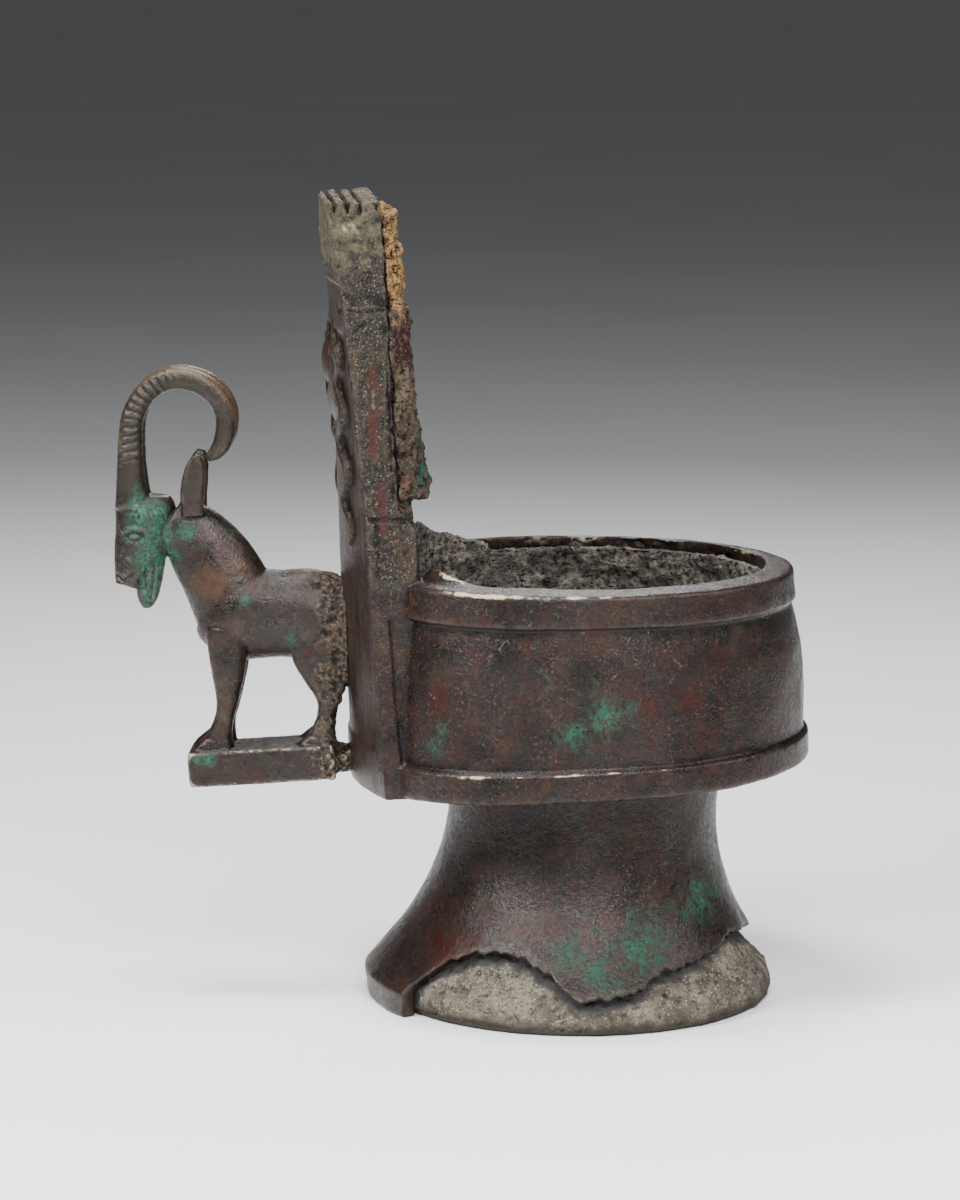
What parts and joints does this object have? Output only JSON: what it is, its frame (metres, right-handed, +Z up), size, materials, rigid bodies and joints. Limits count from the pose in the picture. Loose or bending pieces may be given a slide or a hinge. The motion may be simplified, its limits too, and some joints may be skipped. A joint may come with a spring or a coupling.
{
  "type": "incense burner",
  "caption": "Ancient bronze incense burner: a hollow cup on a flaring foot, with a tall front panel and an ibex on a small plinth as its handle.",
  "frame": {"origin": "centre of the foot's flat underside", "axes": "+Z up, -X towards the ibex and the front panel, +X towards the back of the cup"},
  "size_m": [0.2384, 0.1478, 0.2765],
  "materials": {
    "aged_bronze": "dark brown patinated bronze, semi-gloss, mottled red and green",
    "aged_bronze_ibex": "warm brown patinated bronze with bright green corrosion",
    "grey_core_clay": "pale grey sandy casting core, rough and matt",
    "dark_core_clay": "dark grey crumbling core, rough and matt"
  },
  "bodies": {
    "root": {"bronze_body": "aged_bronze", "ibex_handle": "aged_bronze_ibex", "foot_core": "grey_core_clay", "cup_and_panel_core": "dark_core_clay"}
  },
  "joints": []
}
